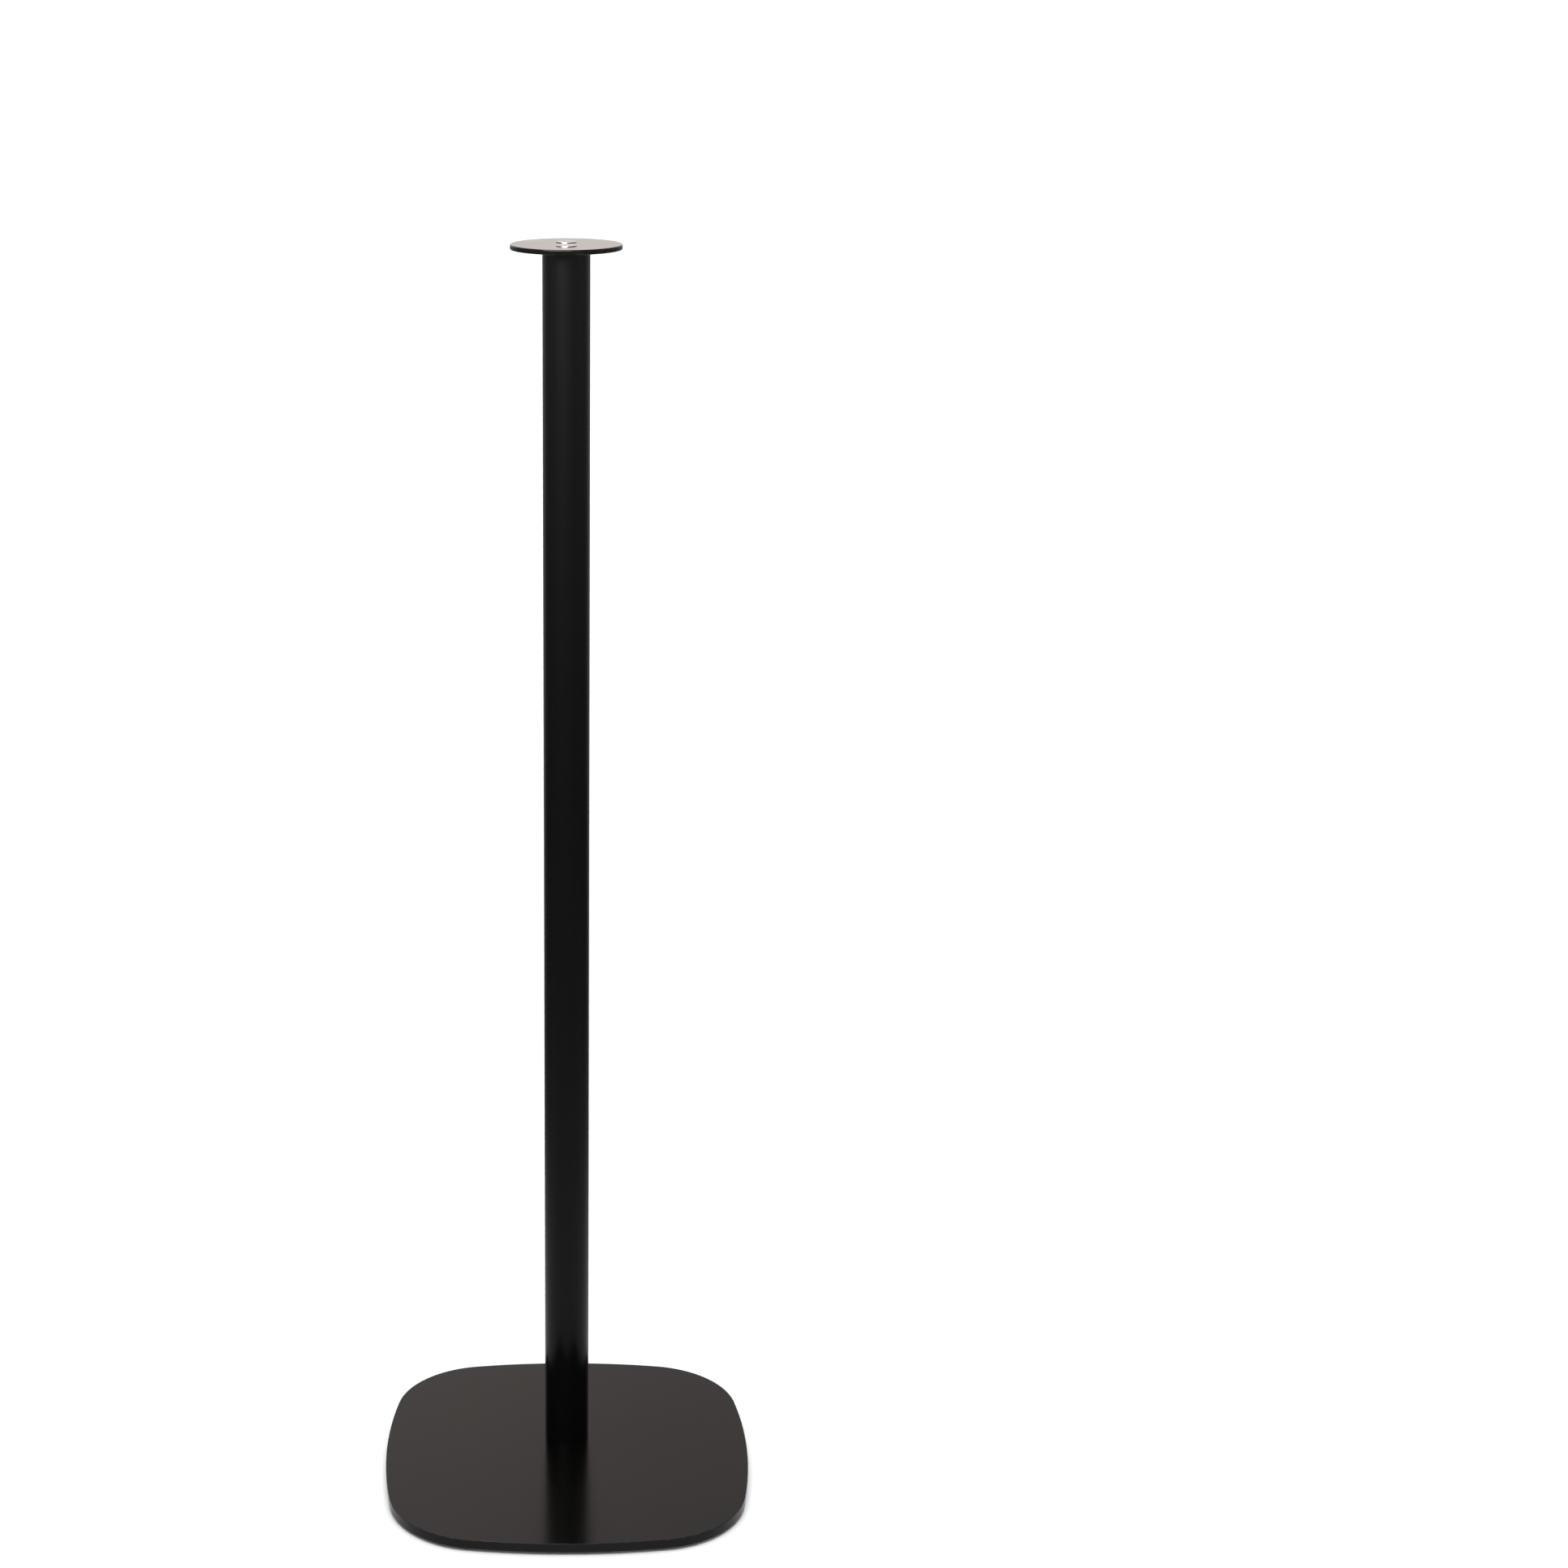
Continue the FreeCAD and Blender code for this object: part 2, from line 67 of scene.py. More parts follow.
# ------------------------------------------------------------------ mesh building
class Shell:
    """Rings of points joined into one closed skin. Every point carries how exposed its edge is, from 0 to 1."""

    def __init__(self):
        self.points, self.faces, self.wear = [], [], []

    def ring(self, points, wear=0.0):
        first = len(self.points)
        self.points += [Vector(p) * MM for p in points]
        self.wear += [wear] * len(points)
        return list(range(first, len(self.points)))

    def band(self, a, b):
        for i in range(len(a)):
            j = (i + 1) % len(a)
            self.faces.append((a[i], a[j], b[j], b[i]))

    def skin(self, rings):
        for a, b in zip(rings, rings[1:]):
            self.band(a, b)

    def cap(self, outline, holes=()):
        loops = [outline, *holes]
        order = [i for loop in loops for i in loop]
        flat = [[self.points[i] for i in loop] for loop in loops]
        for corners in tessellate_polygon(flat):
            self.faces.append(tuple(order[k] for k in corners))

    def make(self, name, material, sharp=32.0):
        mesh = bpy.data.meshes.new(name)
        mesh.from_pydata(self.points, [], self.faces)
        exposed = mesh.attributes.new("wear", "FLOAT", "POINT")
        exposed.data.foreach_set("value", self.wear)
        bm = bmesh.new()
        bm.from_mesh(mesh)
        bmesh.ops.recalc_face_normals(bm, faces=bm.faces[:])
        open_edges = [e for e in bm.edges if len(e.link_faces) != 2]
        if open_edges:
            raise RuntimeError(f"{name} has {len(open_edges)} open edges")
        bm.to_mesh(mesh)
        bm.free()
        mesh.polygons.foreach_set("use_smooth", [True] * len(mesh.polygons))
        mesh.set_sharp_from_angle(angle=math.radians(sharp))
        piece = bpy.data.objects.new(name, mesh)
        bpy.context.scene.collection.objects.link(piece)
        even = piece.modifiers.new("even_normals", "WEIGHTED_NORMAL")
        even.mode, even.weight, even.keep_sharp = "FACE_AREA", 50, True
        mesh.materials.append(material)
        return piece


def round_ring(shell, spot, r, z, n, wear=0.0, start=0.0):
    return shell.ring(
        [
            (
                spot[0] + r * math.cos(start + TAU * i / n),
                spot[1] + r * math.sin(start + TAU * i / n),
                z,
            )
            for i in range(n)
        ],
        wear,
    )


def lathe(shell, spot, profile, n):
    """Rings about a vertical line; each profile point is (radius, height, wear)."""
    return [round_ring(shell, spot, r, z, n, wear) for r, z, wear in profile]


def quarter(r, steps):
    """(along, up) of a quarter circle that starts upright and ends level, both from 0 to r."""
    return [
        (r * (1 - math.cos(math.pi / 2 * k / steps)), r * math.sin(math.pi / 2 * k / steps))
        for k in range(1, steps + 1)
    ]


def plate_outline(inset):
    off = BOW - HALF
    q = (-off + math.sqrt(2 * (BOW - CORNER) ** 2 - off**2)) / 2
    lean = math.atan2(q, q + off)
    points = []
    for i in range(4):
        turn = math.pi / 2 * i
        cx, cy = -off * math.cos(turn), -off * math.sin(turn)
        for k in range(44):
            a = turn - lean + 2 * lean * k / 44
            points.append((cx + (BOW - inset) * math.cos(a), cy + (BOW - inset) * math.sin(a)))
        d = turn + math.pi / 4
        cx, cy = q * math.sqrt(2) * math.cos(d), q * math.sqrt(2) * math.sin(d)
        for k in range(48):
            a = turn + lean + (math.pi / 2 - 2 * lean) * k / 48
            points.append((cx + (CORNER - inset) * math.cos(a), cy + (CORNER - inset) * math.sin(a)))
    return points


def base_plate(material):
    shell = Shell()

    def rim(inset, z, wear=0.0):
        return shell.ring([(x, y, z) for x, y in plate_outline(inset)], wear)

    low, top = PLATE_LOW, PLATE_TOP
    edge, cut = 0.25, 0.3
    rings = [rim(14, low), rim(4, low), rim(1.0, low), rim(cut, low, 0.5)]
    rings += [rim(0, low + cut, 0.5), rim(0, low + 1.2), rim(0, low + 4.0), rim(0, top - 1.6)]
    rings.append(rim(0, top - edge, 0.35))
    for along, up in quarter(edge, 6):
        rings.append(rim(along, top - edge + up, 1.0 if along < 0.7 * edge else 0.6))
    rings += [rim(0.7, top, 0.15), rim(1.6, top), rim(5, top), rim(14, top)]
    shell.skin(rings)
    # two countersunk holes, open to the underside
    mouths, tops = [], []
    for spot in SCREWS:
        hole = lathe(
            shell,
            spot,
            [(6.35, low, 0.0), (6.2, low + 0.1, 0.6), (3.3, low + 2.95, 0.2), (3.3, low + 5.5, 0.0), (3.3, top, 0.0)],
            64,
        )
        shell.skin(hole)
        mouths.append(hole[0])
        tops.append(hole[-1])
    shell.cap(rings[0], mouths)
    shell.cap(rings[-1], tops)
    return shell.make("base_plate_skin", material)


def pole_tube(material):
    shell = Shell()
    r, inner = TUBE_R, PLUG_R
    heights = [TUBE_LOW + 0.3, TUBE_LOW + 1.0, TUBE_LOW + 4.0]
    count = 44
    for k in range(1, count):
        heights.append(TUBE_LOW + 4.0 + (TUBE_TOP - TUBE_LOW - 8.0) * k / count)
    heights += [TUBE_TOP - 4.0, TUBE_TOP - 1.0, TUBE_TOP - 0.3]
    profile = [(inner, TUBE_LOW, 0.0), (r - 0.3, TUBE_LOW, 0.6)]
    profile += [(r, z, 0.6 if z in (heights[0], heights[-1]) else 0.0) for z in heights]
    profile += [(r - 0.3, TUBE_TOP, 0.6), (inner, TUBE_TOP, 0.0)]
    profile += [(inner, TUBE_TOP - 25.0, 0.0)]
    profile += [(inner, TUBE_TOP - 25.0 - (TUBE_TOP - TUBE_LOW - 50.0) * k / 8, 0.0) for k in range(1, 9)]
    rings = lathe(shell, (0.0, BACK), profile, 144)
    shell.skin([*rings, rings[0]])
    return shell.make("pole_tube_skin", material)


def disc(material):
    shell = Shell()
    r, low, top, edge = DISC_R, DISC_LOW, DISC_TOP, 0.8
    profile = [(30.0, low, 0.0), (40.0, low, 0.0), (r - edge - 0.4, low, 0.1)]
    profile.append((r - edge, low, 0.5))
    profile += [(r - edge + up, low + along, 0.9) for along, up in quarter(edge, 6)]
    profile.append((r, (low + top) / 2, 0.1))
    profile.append((r, top - edge, 0.6))
    profile += [(r - along, top - edge + up, 1.0 if along < 0.7 * edge else 0.6) for along, up in quarter(edge, 6)]
    profile += [(r - edge - 0.5, top, 0.2), (40.0, top, 0.0), (34.0, top, 0.0), (26.0, top, 0.0)]
    rings = lathe(shell, (0.0, BACK), profile, 180)
    shell.skin(rings)
    lower, upper = [], []
    for spot in SCREWS:
        hole = lathe(shell, spot, [(3.3, low, 0.3), (3.3, low + 1.6, 0.0), (3.3, top, 0.3)], 48)
        shell.skin(hole)
        lower.append(hole[0])
        upper.append(hole[-1])
    shell.cap(rings[0], lower)
    shell.cap(rings[-1], upper)
    return shell.make("top_plate_skin", material)


def plug(name, low, high, chamfer_low, material):
    """Threaded plug pressed into one end of the tube, with two tapped holes and a lead-in chamfer on its inner end."""
    shell = Shell()
    r, lead, soft = PLUG_R, 0.6, 0.15
    first, last = (lead, soft) if chamfer_low else (soft, lead)
    profile = [(r - max(first, 0.6) - 0.05, low, 0.0), (r - first, low, 0.8), (r, low + first, 0.8)]
    profile += [(r, low + (high - low) * k / 4, 0.0) for k in range(1, 4)]
    profile += [(r, high - last, 0.8), (r - last, high, 0.8), (r - max(last, 0.6) - 0.05, high, 0.0)]
    rings = lathe(shell, (0.0, BACK), profile, 120)
    shell.skin(rings)
    lower, upper = [], []
    for spot in SCREWS:
        steps = [(3.0, low + (high - low) * k / 5, 0.2 if k in (0, 5) else 0.0) for k in range(6)]
        hole = lathe(shell, spot, steps, 48)
        shell.skin(hole)
        lower.append(hole[0])
        upper.append(hole[-1])
    shell.cap(rings[0], lower)
    shell.cap(rings[-1], upper)
    return shell.make(name, material)


def hexagon(shell, spot, flats, z, wear=0.0):
    r = flats / 2 / math.cos(math.pi / 6)
    points = []
    for i in range(6):
        a, b = TAU * i / 6, TAU * (i + 1) / 6
        for k in range(4):
            t = k / 4
            points.append(
                (
                    spot[0] + r * ((1 - t) * math.cos(a) + t * math.cos(b)),
                    spot[1] + r * ((1 - t) * math.sin(a) + t * math.sin(b)),
                    z,
                )
            )
    return shell.ring(points, wear)


def thread(shell, spot, start, end, n=48):
    """Helical 60 degree thread of 1 mm pitch along a 6 mm shank, running out at the head and cut back at the point."""
    r, pitch, deep, point, per = 3.0, 1.0, 0.58, 0.8, 12
    way = 1.0 if end > start else -1.0
    length = abs(end - start)
    rows = int(round(length / pitch * per))
    rings = []
    for row in range(rows + 1):
        along = length * row / rows
        fade = min(1.0, max(0.0, (along - 0.8) / 1.2))
        limit = r - max(0.0, point - (length - along))
        points = []
        for i in range(n):
            a = TAU * i / n
            turn = (along / pitch - way * i / n) % 1.0
            rise = abs(turn - 0.5) * 2
            cut = deep * min(1.0, max(0.0, (rise - 0.14) / 0.62)) * fade
            here = min(r - cut, limit)
            points.append((spot[0] + here * math.cos(a), spot[1] + here * math.sin(a), start + way * along))
        rings.append(shell.ring(points, 0.3))
    return rings


def disc_screws(material):
    """Two low wide-headed socket screws that hold the disc."""
    shell = Shell()
    n, r, edge = 72, 7.75, 0.25
    under, top = DISC_TOP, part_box("top_plate_screws")[1].z / MM
    for spot in SCREWS:
        head = [(3.4, under, 0.0), (r - 0.15, under, 0.2), (r, under + 0.15, 0.4), (r, top - edge, 0.6)]
        head += [(r - along, top - edge + up, 1.0) for along, up in quarter(edge, 6)]
        head += [(r - edge - 0.3, top, 0.4), (5.6, top, 0.0), (4.0, top, 0.0), (3.1, top, 0.0)]
        rings = lathe(shell, spot, head, n)
        shell.skin(rings)
        mouth = hexagon(shell, spot, 4.3, top, 0.8)
        shell.cap(rings[-1], [mouth])
        wall = [mouth, hexagon(shell, spot, 4.0, top - 0.15, 0.8), hexagon(shell, spot, 4.0, top - 1.2), hexagon(shell, spot, 4.0, top - 2.2, 0.2)]
        shell.skin(wall)
        dimple = round_ring(shell, spot, 0.9, top - 2.4, 24)
        shell.band(wall[-1], dimple)
        shell.cap(dimple)
        shank = thread(shell, spot, under, under - 16.0, n)
        shell.band(rings[0], shank[0])
        shell.skin(shank)
        shell.cap(shank[-1])
    return shell.make("top_plate_screws_turned", material)


def sunk_screws(material):
    """Two countersunk socket screws that come up through the base plate."""
    shell = Shell()
    n, r = 72, 6.0
    for spot in SCREWS:
        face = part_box("base_screws")[0].z / MM
        head = [(2.9, face, 0.0), (4.2, face, 0.0), (r - 0.35, face, 0.4), (r - 0.1, face + 0.1, 1.0), (r - 0.1, face + 0.22, 1.0)]
        head += [(r - 0.1 - 0.5, face + 0.72, 0.0), (3.0, face + 3.12, 0.0)]
        rings = lathe(shell, spot, head, n)
        shell.skin(rings)
        mouth = hexagon(shell, spot, 4.3, face, 0.8)
        shell.cap(rings[0], [mouth])
        wall = [mouth, hexagon(shell, spot, 4.0, face + 0.15, 0.8), hexagon(shell, spot, 4.0, face + 1.2), hexagon(shell, spot, 4.0, face + 2.2, 0.2)]
        shell.skin(wall)
        dimple = round_ring(shell, spot, 0.9, face + 2.4, 24)
        shell.band(wall[-1], dimple)
        shell.cap(dimple)
        shank = thread(shell, spot, face + 3.2, face + 20.0, n)
        shell.band(rings[-1], shank[0])
        shell.skin(shank)
        shell.cap(shank[-1])
    return shell.make("base_screws_turned", material)


def foot(node, material):
    """Moulded rubber pad: a rounded edge, a chamfered sole and a shallow ring groove under it."""
    shell = Shell()
    low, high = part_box(node)
    spot = ((low.x + high.x) / 2 / MM, (low.y + high.y) / 2 / MM)
    r, bottom, top = 10.0, low.z / MM, high.z / MM
    profile = [(1.4, bottom, 0.0), (4.9, bottom, 0.0), (5.2, bottom + 0.25, 0.0), (6.2, bottom + 0.25, 0.0)]
    profile += [(6.5, bottom, 0.0), (r - 0.7, bottom, 0.2), (r - 0.45, bottom + 0.06, 1.0), (r - 0.08, bottom + 0.42, 1.0)]
    profile += [(r, bottom + 0.65, 0.3), (r, top - 0.3, 0.0), (r - 0.08, top - 0.08, 0.2), (r - 0.3, top, 0.0), (7.0, top, 0.0), (2.0, top, 0.0)]
    rings = lathe(shell, spot, profile, 96)
    shell.skin(rings)
    shell.cap(rings[0])
    shell.cap(rings[-1])
    return shell.make(node + "_pad", material)


# --------------------------------------------------------------------- materials
class Finish:
    """A node material with one Principled shader and short helpers to wire it."""

    def __init__(self, name):
        self.material = bpy.data.materials.new(name)
        self.material.use_nodes = True
        self.tree = self.material.node_tree
        self.tree.nodes.clear()
        self.shader = self.tree.nodes.new("ShaderNodeBsdfPrincipled")
        out = self.tree.nodes.new("ShaderNodeOutputMaterial")
        self.tree.links.new(self.shader.outputs["BSDF"], out.inputs["Surface"])
        self.place = self.tree.nodes.new("ShaderNodeTexCoord").outputs["Object"]

    def put(self, socket, value):
        if isinstance(value, bpy.types.NodeSocket):
            self.tree.links.new(value, socket)
        else:
            socket.default_value = value

    def set(self, **values):
        for name, value in values.items():
            self.put(self.shader.inputs[name.replace("_", " ")], value)

    def noise(self, scale, detail=2.0, rough=0.5, vector=None, distort=0.0):
        node = self.tree.nodes.new("ShaderNodeTexNoise")
        self.put(node.inputs["Vector"], vector or self.place)
        node.inputs["Scale"].default_value = scale
        node.inputs["Detail"].default_value = detail
        node.inputs["Roughness"].default_value = rough
        node.inputs["Distortion"].default_value = distort
        return node.outputs[0]

    def stretch(self, x, y, z):
        node = self.tree.nodes.new("ShaderNodeMapping")
        self.put(node.inputs["Vector"], self.place)
        node.inputs["Scale"].default_value = (x, y, z)
        return node.outputs["Vector"]

    def cells(self, scale):
        """(distance to the nearest point, that point's own random number) of scattered points."""
        node = self.tree.nodes.new("ShaderNodeTexVoronoi")
        self.put(node.inputs["Vector"], self.place)
        node.inputs["Scale"].default_value = scale
        split = self.tree.nodes.new("ShaderNodeSeparateColor")
        self.put(split.inputs[0], node.outputs["Color"])
        return node.outputs["Distance"], split.outputs[0]

    def span(self, value, low, high, to_low=0.0, to_high=1.0, smooth=False):
        node = self.tree.nodes.new("ShaderNodeMapRange")
        node.interpolation_type = "SMOOTHSTEP" if smooth else "LINEAR"
        for i, v in enumerate((value, low, high, to_low, to_high)):
            self.put(node.inputs[i], v)
        return node.outputs[0]

    def math(self, operation, a, b=None, c=None):
        node = self.tree.nodes.new("ShaderNodeMath")
        node.operation = operation
        for i, v in enumerate((a, b, c)):
            if v is not None:
                self.put(node.inputs[i], v)
        return node.outputs[0]

    def mix(self, factor, a, b):
        node = self.tree.nodes.new("ShaderNodeMix")
        node.data_type = "RGBA"
        for i, v in ((0, factor), (6, a), (7, b)):
            self.put(node.inputs[i], v)
        return node.outputs[2]

    def wear(self):
        node = self.tree.nodes.new("ShaderNodeAttribute")
        node.attribute_name = "wear"
        return node.outputs["Fac"]

    def bump(self, height, distance, normal=None, strength=1.0):
        node = self.tree.nodes.new("ShaderNodeBump")
        node.inputs["Strength"].default_value = strength
        node.inputs["Distance"].default_value = distance
        self.put(node.inputs["Height"], height)
        if normal is not None:
            self.put(node.inputs["Normal"], normal)
        return node.outputs["Normal"]

    def radius(self, pair):
        """Distance in metres from the tube's line, or from the nearer of the two screw lines."""
        split = self.tree.nodes.new("ShaderNodeSeparateXYZ")
        self.put(split.inputs[0], self.place)
        across = self.math("SUBTRACT", split.outputs["Y"], BACK * MM)
        if pair:
            across = self.math("SUBTRACT", self.math("ABSOLUTE", across), PITCH / 2 * MM)
        squares = self.math(
            "ADD", self.math("MULTIPLY", across, across), self.math("MULTIPLY", split.outputs["X"], split.outputs["X"])
        )
        return self.math("SQRT", squares)


def powder_coat(name, dark, light, rough, peel=1.0, specks=0.9, haze=0.0):
    """Satin black powder coat: orange peel, fine grain, slow drift in tone and gloss, rubbed edges and a little dust.
    Haze is the share of the gloss that is spread wide."""
    f = Finish(name)
    drift = f.noise(7.0, 3.0, 0.55)
    cloud = f.noise(46.0, 4.0, 0.6)
    skin = f.noise(620.0, 1.5, 0.45)
    grain = f.noise(2600.0, 2.0, 0.6)
    tone = f.math("ADD", f.math("MULTIPLY", drift, 0.6), f.math("MULTIPLY", cloud, 0.4))
    color = f.mix(f.span(tone, 0.32, 0.68), dark, light)
    pepper = f.span(grain, 0.58, 0.8)
    color = f.mix(f.math("MULTIPLY", pepper, 0.35), color, (light[0] * 2.4, light[1] * 2.4, light[2] * 2.4, 1.0))
    # rubbed edges, broken up by noise
    rub = f.span(f.noise(240.0, 4.0, 0.65), 0.5, 0.72)
    rub = f.math("MULTIPLY", f.math("MULTIPLY", f.wear(), rub), 0.75)
    color = f.mix(rub, color, (0.034, 0.033, 0.032, 1.0))
    # sparse dust
    near, pick = f.cells(46.0)
    speck = f.math(
        "MULTIPLY", f.span(near, 0.012, 0.022, 1.0, 0.0), f.math("GREATER_THAN", pick, specks)
    )
    color = f.mix(f.math("MULTIPLY", speck, 0.7), color, (0.11, 0.09, 0.075, 1.0))
    gloss = f.math("ADD", f.span(tone, 0.3, 0.7, rough - 0.025, rough + 0.025), f.span(skin, 0.3, 0.7, -0.012, 0.012))
    gloss = f.math("ADD", gloss, f.math("MULTIPLY", rub, -0.05))
    gloss = f.math("ADD", gloss, f.math("MULTIPLY", speck, 0.3))
    normal = f.bump(grain, 0.0000006 * peel)
    normal = f.bump(skin, 0.000003 * peel, normal)
    f.set(Base_Color=color, Roughness=gloss, Normal=normal, IOR=1.3, Metallic=0.0)
    if haze:
        f.set(IOR=1.2, Coat_Weight=haze, Coat_Roughness=0.3, Coat_IOR=1.3)
    return f.material


def turned_metal(name, dark, light, rough, pair, rings, deep, stain=0.35):
    """Turned and plated metal: fine lathe rings about its own line, faint stain, brighter rubbed edges."""
    f = Finish(name)
    r = f.radius(pair)
    wobble = f.math("MULTIPLY", f.noise(900.0, 2.0), 0.00006)
    groove = f.math("SINE", f.math("MULTIPLY", f.math("ADD", r, wobble), rings))
    groove = f.span(groove, -1.0, 1.0)
    cloud = f.noise(420.0, 4.0, 0.6)
    fine = f.noise(6000.0, 2.0, 0.6)
    color = f.mix(f.span(cloud, 0.35, 0.7), light, dark)
    color = f.mix(f.math("MULTIPLY", groove, stain), color, dark)
    bright = f.math("MULTIPLY", f.wear(), f.span(f.noise(1300.0, 3.0), 0.4, 0.65))
    color = f.mix(f.math("MULTIPLY", bright, 0.5), color, light)
    gloss = f.math("ADD", f.span(cloud, 0.3, 0.7, rough - 0.04, rough + 0.06), f.math("MULTIPLY", groove, 0.05))
    gloss = f.math("ADD", gloss, f.math("MULTIPLY", bright, -0.06))
    normal = f.bump(fine, 0.0000008)
    normal = f.bump(groove, deep, normal)
    f.set(Base_Color=color, Roughness=gloss, Normal=normal, Metallic=1.0)
    return f.material


def moulded_rubber(name):
    f = Finish(name)
    cloud = f.noise(180.0, 4.0, 0.6)
    grain = f.noise(3200.0, 3.0, 0.6)
    color = f.mix(f.span(cloud, 0.3, 0.7), (0.016, 0.016, 0.016, 1.0), (0.030, 0.030, 0.029, 1.0))
    near, pick = f.cells(420.0)
    lint = f.math("MULTIPLY", f.span(near, 0.05, 0.11, 1.0, 0.0), f.math("GREATER_THAN", pick, 0.86))
    color = f.mix(f.math("MULTIPLY", lint, 0.6), color, (0.12, 0.11, 0.10, 1.0))
    scuffed = f.math("MULTIPLY", f.wear(), f.span(f.noise(700.0, 3.0), 0.42, 0.68))
    color = f.mix(f.math("MULTIPLY", scuffed, 0.6), color, (0.055, 0.054, 0.052, 1.0))
    gloss = f.math("ADD", f.span(cloud, 0.3, 0.7, 0.62, 0.76), f.math("MULTIPLY", lint, 0.15))
    normal = f.bump(grain, 0.00002)
    f.set(Base_Color=color, Roughness=gloss, Normal=normal, IOR=1.45)
    return f.material


base_coat = powder_coat("powder_coat_base", (0.0006, 0.0006, 0.0005, 1.0), (0.0011, 0.0010, 0.0009, 1.0), 0.165)
pole_coat = powder_coat("powder_coat_pole", (0.0008, 0.0008, 0.0007, 1.0), (0.0014, 0.0013, 0.0012, 1.0), 0.155, 1.0, 0.95, 0.5)
disc_coat = powder_coat("powder_coat_disc", (0.0008, 0.0008, 0.0007, 1.0), (0.0014, 0.0013, 0.0012, 1.0), 0.16)
zinc = turned_metal("bright_zinc", (0.36, 0.36, 0.365, 1.0), (0.54, 0.54, 0.54, 1.0), 0.25, True, TAU / 0.00022, 0.0000016)
oxide = turned_metal("black_oxide", (0.030, 0.030, 0.031, 1.0), (0.062, 0.061, 0.060, 1.0), 0.36, True, TAU / 0.00020, 0.0000016)
steel = turned_metal("plain_steel", (0.36, 0.35, 0.34, 1.0), (0.54, 0.53, 0.52, 1.0), 0.32, False, TAU / 0.00030, 0.0000030)
rubber = moulded_rubber("foot_rubber")

# ------------------------------------------------------------------------ pieces
plug_foot, plug_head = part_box("foot_plug"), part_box("head_plug")
PIECES = [
    (base_plate(base_coat), "base_plate", "powder_coat_base"),
    (pole_tube(pole_coat), "pole_tube", "powder_coat_pole"),
    (disc(disc_coat), "top_plate", "powder_coat_disc"),
    (plug("foot_plug_turned", plug_foot[0].z / MM, plug_foot[1].z / MM, False, steel), "foot_plug", "plain_steel"),
    (plug("head_plug_turned", plug_head[0].z / MM, plug_head[1].z / MM, True, steel), "head_plug", "plain_steel"),
    (disc_screws(zinc), "top_plate_screws", "bright_zinc"),
    (sunk_screws(oxide), "base_screws", "black_oxide"),
]
PIECES += [
    (foot(node, rubber), node, "foot_rubber")
    for node in ("foot_front_left", "foot_front_right", "foot_rear_left", "foot_rear_right")
]
for piece, node, slot in PIECES:
    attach(piece, "root")
    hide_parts(node)

# ----------------------------------------------------------------- floor and light
# plain pale floor in nested squares; it doesn't show in the stand's own gloss
pale = bpy.data.materials.new("pale_floor")
pale.use_nodes = True
shader = pale.node_tree.nodes["Principled BSDF"]
shader.inputs["Base Color"].default_value = (0.83, 0.845, 0.855, 1.0)
shader.inputs["Roughness"].default_value = 0.9
shader.inputs["Specular IOR Level"].default_value = 0.0
mesh = bpy.data.meshes.new("floor")
corners, quads = [], []
for k, half in enumerate((1.0, 4.0, 20.0, 120.0, 900.0)):
    corners += [(-half, -half, 0.0), (half, -half, 0.0), (half, half, 0.0), (-half, half, 0.0)]
    if k == 0:
        quads.append((0, 1, 2, 3))
    else:
        for i in range(4):
            j = (i + 1) % 4
            quads.append((4 * k + i, 4 * k + j, 4 * k - 4 + j, 4 * k - 4 + i))
mesh.from_pydata(corners, [], quads)
floor = bpy.data.objects.new("floor", mesh)
floor.data.materials.append(pale)
floor.visible_glossy = False
bpy.context.scene.collection.objects.link(floor)

# soft light from all round: white at the horizon and a little warm behind, brightest
# overhead; below the horizon, which only gloss can see, dark with a glow further down
world = bpy.data.worlds.new("studio")
bpy.context.scene.world = world
world.use_nodes = True
tree = world.node_tree
tree.nodes.clear()
out = tree.nodes.new("ShaderNodeOutputWorld")
glow = tree.nodes.new("ShaderNodeBackground")
tree.links.new(glow.outputs[0], out.inputs[0])
way = tree.nodes.new("ShaderNodeTexCoord")
split = tree.nodes.new("ShaderNodeSeparateXYZ")
tree.links.new(way.outputs["Generated"], split.inputs[0])
rise = tree.nodes.new("ShaderNodeMapRange")
tree.links.new(split.outputs["Z"], rise.inputs[0])
for i, v in ((1, -1.0), (2, 1.0), (3, 0.0), (4, 1.0)):
    rise.inputs[i].default_value = v
SKY_GAIN = 4.0


def ramp(stops):
    """Light by elevation: each stop is (degrees above the horizon, brightness, warmth)."""
    node = tree.nodes.new("ShaderNodeValToRGB")
    bar = node.color_ramp
    while len(bar.elements) < len(stops):
        bar.elements.new(0.5)
    for element, (degrees, level, warmth) in zip(bar.elements, stops):
        element.position = (math.sin(math.radians(degrees)) + 1) / 2
    for element, (degrees, level, warmth) in zip(bar.elements, stops):
        level /= SKY_GAIN
        element.color = (level, level * (1 - 0.09 * warmth), level * (1 - 0.13 * warmth), 1.0)
    tree.links.new(rise.outputs[0], node.inputs[0])
    return node.outputs[0]


def between(axis, low, high, a, b):
    """Blends from a to b as the direction's axis goes from low to high."""
    step = tree.nodes.new("ShaderNodeMapRange")
    step.interpolation_type = "SMOOTHSTEP"
    tree.links.new(split.outputs[axis], step.inputs[0])
    for i, v in ((1, low), (2, high), (3, 0.0), (4, 1.0)):
        step.inputs[i].default_value = v
    node = tree.nodes.new("ShaderNodeMix")
    node.data_type = "RGBA"
    tree.links.new(step.outputs[0], node.inputs[0])
    tree.links.new(a, node.inputs[6])
    tree.links.new(b, node.inputs[7])
    return node.outputs[2]


